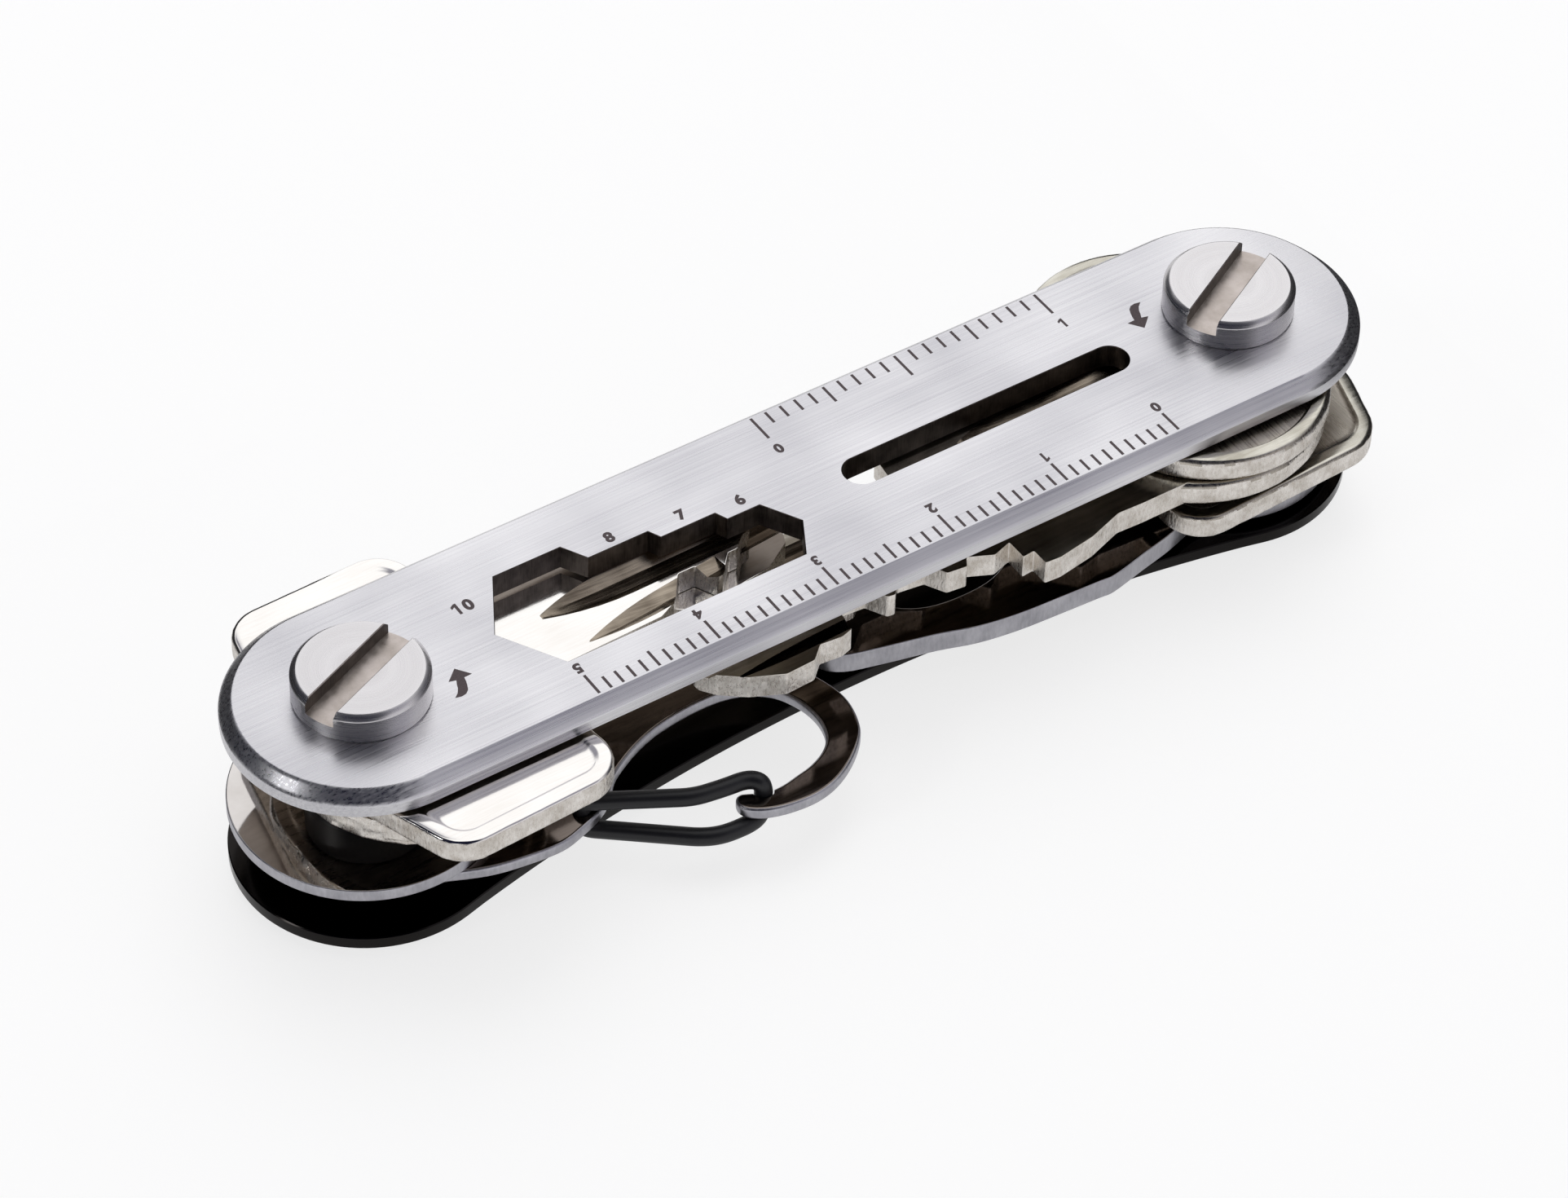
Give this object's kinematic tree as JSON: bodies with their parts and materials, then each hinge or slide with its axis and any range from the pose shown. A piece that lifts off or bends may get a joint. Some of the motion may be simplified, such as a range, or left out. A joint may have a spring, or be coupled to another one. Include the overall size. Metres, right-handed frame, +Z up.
{
  "type": "key organiser",
  "caption": "Pocket key organiser: steel plates hold swing-out keys, a bottle opener and a carabiner on slotted screws, with a spanner cut-out and ruler edges.",
  "frame": {"origin": "middle of the bottom plate's outer face, halfway between the two screw axes, on the face it lies on", "axes": "+X along the plates from the carabiner end to the opener end, +Y away from the side the carabiner's gate is on, +Z up out of the top plate and through the screws"},
  "size_m": [0.095, 0.0306, 0.0189],
  "materials": {
    "brushed_steel_plate": "long-grain brushed stainless steel",
    "satin_steel_screw": "turned satin steel",
    "polished_steel": "mirror-polished steel",
    "nickel_silver_key": "nickel-plated brass with a polished bow and rough edges",
    "black_wire": "matte black coated spring wire",
    "black_washer": "black nylon"
  },
  "bodies": {
    "frame": {"bottom_plate": "polished_steel", "top_plate": "brushed_steel_plate", "post_left": "satin_steel_screw", "post_right": "satin_steel_screw", "shim_washers": "black_washer", "spacer_left_upper": "black_washer", "spacer_left_lower": "black_washer", "spacer_right_upper": "black_washer", "spacer_right_middle": "black_washer", "spacer_right_lower": "black_washer"},
    "left_screw": {"screw_left": "satin_steel_screw"},
    "right_screw": {"screw_right": "satin_steel_screw"},
    "left_upper_key": {"key_left_upper": "nickel_silver_key"},
    "left_lower_key": {"key_left_lower": "nickel_silver_key"},
    "right_upper_key": {"key_right_upper": "nickel_silver_key"},
    "right_lower_key": {"key_right_lower": "nickel_silver_key"},
    "right_third_key": {"key_right_third": "nickel_silver_key"},
    "left_disc": {"disc_left": "polished_steel"},
    "carabiner": {"carabiner": "polished_steel"},
    "gate": {"gate_wire": "black_wire"},
    "opener": {"bottle_opener": "polished_steel"}
  },
  "joints": [
    {"name": "left_screw_turn", "type": "hinge", "parent": "frame", "child": "left_screw", "pos_m": [-0.0375, 0, 0.0163], "axis": [0, 0, 1], "range_deg": [0, 720]},
    {"name": "right_screw_turn", "type": "hinge", "parent": "frame", "child": "right_screw", "pos_m": [0.0375, 0, 0.0163], "axis": [0, 0, 1], "range_deg": [0, 720]},
    {"name": "left_upper_key_swing", "type": "hinge", "parent": "frame", "child": "left_upper_key", "pos_m": [-0.0375, 0, 0.013], "axis": [0, 0, 1], "continuous": true},
    {"name": "left_lower_key_swing", "type": "hinge", "parent": "frame", "child": "left_lower_key", "pos_m": [-0.0375, 0, 0.011], "axis": [0, 0, 1], "range_deg": [0, 190]},
    {"name": "right_upper_key_swing", "type": "hinge", "parent": "frame", "child": "right_upper_key", "pos_m": [0.0375, 0, 0.013], "axis": [0, 0, 1], "continuous": true},
    {"name": "right_lower_key_swing", "type": "hinge", "parent": "frame", "child": "right_lower_key", "pos_m": [0.0375, 0, 0.011], "axis": [0, 0, 1], "range_deg": [0, 190]},
    {"name": "right_third_key_swing", "type": "hinge", "parent": "frame", "child": "right_third_key", "pos_m": [0.0375, 0, 0.007], "axis": [0, 0, 1], "continuous": true},
    {"name": "left_disc_turn", "type": "hinge", "parent": "frame", "child": "left_disc", "pos_m": [-0.0375, 0, 0.006], "axis": [0, 0, 1], "continuous": true},
    {"name": "carabiner_swing", "type": "hinge", "parent": "frame", "child": "carabiner", "pos_m": [-0.0375, 0, 0.005], "axis": [0, 0, 1], "continuous": true},
    {"name": "gate_hinge", "type": "hinge", "parent": "carabiner", "child": "gate", "pos_m": [-0.0253, -0.0091, 0.00513], "axis": [0, 0, 1], "range_deg": [0, 30], "stiffness_Nm_per_rad": 0.01, "springref_deg": -20.05},
    {"name": "opener_swing", "type": "hinge", "parent": "frame", "child": "opener", "pos_m": [0.0375, 0, 0.0036], "axis": [0, 0, 1], "continuous": true}
  ]
}
